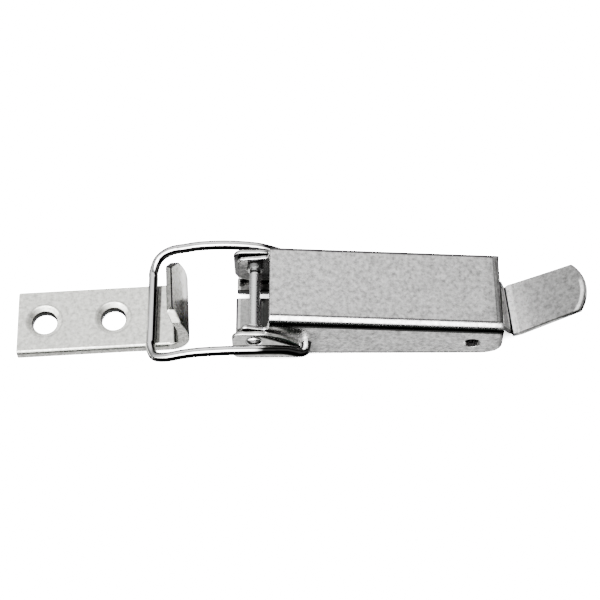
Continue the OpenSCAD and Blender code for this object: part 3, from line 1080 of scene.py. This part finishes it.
def hook_front_shade_dull(tree):
    """Painted shade on the front half of the hook's back, which leaves little of the bare metal."""
    painted_dark = measured(tree, slant(tree, "Z", 0.54, "Y"), (-5, 0.02), (0, 0.03), (1.6, 0.07), (3.9, 0.09),
                    (4.4, 0.2), (5.1, 1.0), (12, 1.0))
    thin = by_place(tree, "Z", (11.5, 1.0), (13, 3.0))
    bare = add_node(tree, "ShaderNodeMath", {0: product(tree, painted_dark, thin), 1: 1.0}, operation="MINIMUM")
    return where(tree, bare.outputs["Value"], hook_back(tree, 4, 5))


def flat_pits(tree):
    """Fine pits from tumbling, on the strip's top and in its countersinks."""
    upward = by_turn(tree, "Z", (0.55, 0.0), (0.6, 1.0))
    not_front = by_turn(tree, "Y", (-0.35, 0.0), (-0.2, 1.0))
    low = by_place(tree, "Z", (PLATE_T + 0.1, 1.0), (PLATE_T + 0.4, 0.0))
    return where(tree, 0.15, upward, not_front, low)


def roll_polish(tree):
    """The strip's rolled front edge, rougher than its top."""
    return by_turn(tree, "Y", (-1.0, 1.0), (-0.97, 1.0), (-0.9, 2.2), (-0.4, 2.2), (-0.2, 1.0), (1.0, 1.0))


def hook_polish(tree):
    """The top of the hook's back, rougher where it was bent."""
    return where(tree, 2.6, hook_back(tree, 9, 12))


# Shades and polishes of the pin and the wire

def collar_shade(tree):
    """The pin's collar at the back ear, in the dark."""
    return by_place(tree, "Y", (5.9, 1.0), (6.1, 0.04), (6.5, 0.04), (6.7, 0.3), (8.3, 0.2), (8.6, 0.2),
                    (9, 1.0), (12, 1.0))


def rivet_polish(tree):
    """The rivet heads, which the closing tool burnishes."""
    return measured(tree, from_middle(tree), (BASE_HALF - 0.2, 1.0), (BASE_HALF, 0.25))


def wire_shade(tree):
    """Painted shade on the wire: underneath, on the inner side of the loop and in a line along its back."""
    under = by_turn(tree, "Y", (-1.0, 0.04), (-0.62, 0.04), (-0.56, 1.0), (0.35, 1.0), (0.5, 0.1),
                    (1.0, 0.1))
    inside = by_turn(tree, "X", (-1.0, 0.4), (-0.9, 0.4), (-0.75, 1.0), (0.15, 1.0), (0.25, 0.05),
                     (1.0, 0.05))
    return product(tree, under, inside)


# Stage

def make_camera():
    """The camera at the photograph's viewing angle."""
    look = Vector((math.sin(CAMERA_AZIMUTH) * math.cos(CAMERA_ELEVATION),
                   math.cos(CAMERA_AZIMUTH) * math.cos(CAMERA_ELEVATION),
                   -math.sin(CAMERA_ELEVATION)))
    side = Vector((math.cos(CAMERA_AZIMUTH), -math.sin(CAMERA_AZIMUTH), 0))
    up = side.cross(look)
    right = side * math.cos(CAMERA_ROLL) + up * math.sin(CAMERA_ROLL)
    top = up * math.cos(CAMERA_ROLL) - side * math.sin(CAMERA_ROLL)
    data = bpy.data.cameras.new("photo_camera")
    data.lens = CAMERA_LENS_MM
    data.sensor_width = SENSOR_MM
    data.clip_start = 0.01
    camera = bpy.data.objects.new("photo_camera", data)
    bpy.context.scene.collection.objects.link(camera)
    axes = Matrix((right, top, -look)).transposed().to_4x4()
    camera.matrix_world = Matrix.Translation(CAMERA_TARGET - look * CAMERA_DISTANCE) @ axes
    bpy.context.scene.camera = camera


def make_floor():
    """The plain pale floor under the part, brightly lit, as a light table is."""
    bpy.ops.mesh.primitive_plane_add(size=FLOOR_WIDE)
    floor = bpy.context.object
    floor.name = "floor"
    # Opal acrylic, cast smooth and lit from below: it glows an even white and shows no texture
    material = bpy.data.materials.new("cast_opal_acrylic")
    material.use_nodes = True
    tree = material.node_tree
    shader = tree.nodes["Principled BSDF"]
    shader.inputs["Base Color"].default_value = srgb("f4f4f4")
    shader.inputs["Roughness"].default_value = 0.9
    shader.inputs["Emission Color"].default_value = srgb("ffffff")
    # A painted shadow: only right under the part, where little sky is open, is the floor's glow turned down
    open_sky = add_node(tree, "ShaderNodeAmbientOcclusion", {"Distance": FLOOR_REACH}, samples=16)
    starts, full = FLOOR_OPEN
    glow = add_node(tree, "ShaderNodeMapRange", {"Value": open_sky.outputs["AO"], "From Min": starts,
                                                 "From Max": full, "To Min": 0.0, "To Max": FLOOR_GLOW},
                    interpolation_type="SMOOTHSTEP")
    tree.links.new(glow.outputs["Result"], shader.inputs["Emission Strength"])
    floor.data.materials.append(material)
    floor.visible_glossy = False
    floor.visible_diffuse = False


def studio_rings(tree, axes):
    """The colour of the light that comes from each angle, as seen from the side."""
    # Angle from straight up, positive towards the back
    lean = add_node(tree, "ShaderNodeMath", {0: axes.outputs["Y"], 1: axes.outputs["Z"]},
                    operation="ARCTAN2")
    share = add_node(tree, "ShaderNodeMapRange", {"Value": lean.outputs["Value"], "From Min": -math.pi,
                                                  "From Max": math.pi})
    stops = [((angle + 180) / 360, [max(level, DARK * tint) / STUDIO_STRENGTH for tint in DARK_TINT])
             for angle, level in STUDIO_RINGS]
    ramp = add_node(tree, "ShaderNodeValToRGB", {"Fac": share.outputs["Result"]}, stops=stops)
    return ramp.outputs["Color"]


def make_studio():
    """A dark room with a wide soft light over the front, and low white walls behind and below."""
    world = bpy.data.worlds.new("studio")
    bpy.context.scene.world = world
    world.use_nodes = True
    tree = world.node_tree
    background = tree.nodes["Background"]
    direction = add_node(tree, "ShaderNodeTexCoord").outputs["Generated"]
    axes = add_node(tree, "ShaderNodeSeparateXYZ", {"Vector": direction})
    above = levels(tree, axes.outputs["X"], *STUDIO_ABOVE)
    below = levels(tree, axes.outputs["X"], *STUDIO_BELOW)
    horizon = levels(tree, axes.outputs["Z"], *STUDIO_HORIZON)
    across = add_node(tree, "ShaderNodeMix", {"Factor": horizon, "A": below, "B": above})
    # Pitted steel is lit by the lamp alone, not by this light from the bright wire beside it
    scattered = add_node(tree, "ShaderNodeLightPath").outputs["Diffuse Depth"]
    direct = add_node(tree, "ShaderNodeMath", {0: scattered, 1: 0.5}, operation="LESS_THAN")
    tree.links.new(studio_rings(tree, axes), background.inputs["Color"])
    strength = product(tree, across.outputs["Result"], direct.outputs["Value"], STUDIO_STRENGTH)
    tree.links.new(strength, background.inputs["Strength"])
    world.cycles_visibility.diffuse = False


def make_lamp():
    """A small lamp at the left that only the pitted strip scatters; it casts the bar's shadow."""
    data = bpy.data.lights.new("left_lamp", "SUN")
    data.energy = LAMP_STRENGTH
    data.angle = LAMP_WIDE
    lamp = bpy.data.objects.new("left_lamp", data)
    bpy.context.scene.collection.objects.link(lamp)
    lamp.rotation_euler = LAMP_AIM.to_track_quat("-Z", "Y").to_euler()
    lamp.visible_glossy = False


make_camera()
make_floor()
make_studio()
make_lamp()

# Stainless sheet, cold rolled with satin rolls: a soft, faintly clouded sheen that mirrors no outline
cover = steel("satin_rolled_stainless", "d3d2d1", roughness=0.2, blotch=0.9, mottle=0.5,
              shades=(under_cover, fold_shade, tab_end_painted_highlight, end_shade, tab_rim_shade, rim_shade),
              dulls=(fold_web_shade_dull, tab_end_highlight_dull, end_bend_shade_dull), polishes=(hole_polish, root_polish))

# Stainless sheet, pressed between dies that rub it smooth: crisp light and dark bands along bends
channel = steel("pressed_stainless", "ccccca", roughness=0.14, blotch=0.9, mottle=0.3,
                shades=(on_floor, tongue_shade, ear_shade))

# Stainless strip, sheared and tumbled in grit: fine pits turn its flats pale and matt
strip = steel("tumbled_stainless", "d6d6d0", roughness=0.2, blotch=0.9, mottle=0.35,
              shades=(hole_shade, mouth_shade, hook_cut_light_and_shade), dulls=(flat_pits, hook_front_shade_dull),
              polishes=(roll_polish, hook_polish))

# Stainless bar, turned: the tool's fine rings blur its highlight, and only the closed heads are bright
pin_steel = steel("turned_stainless", "e6e6e6", roughness=0.3, blotch=0.4, mottle=0.1,
                  shades=(collar_shade,), polishes=(rivet_polish,))

# Stainless spring wire, drawn bright through a die: nearly a mirror, with thin hard lines of light
wire = steel("bright_drawn_stainless_wire", "e4e4e4", roughness=0.07, blotch=0.4, mottle=0.05,
             shades=(wire_shade,))

make_catch_plate(strip)
make_base(channel)
make_lever(cover)
make_pin(pin_steel)
make_bail(wire)
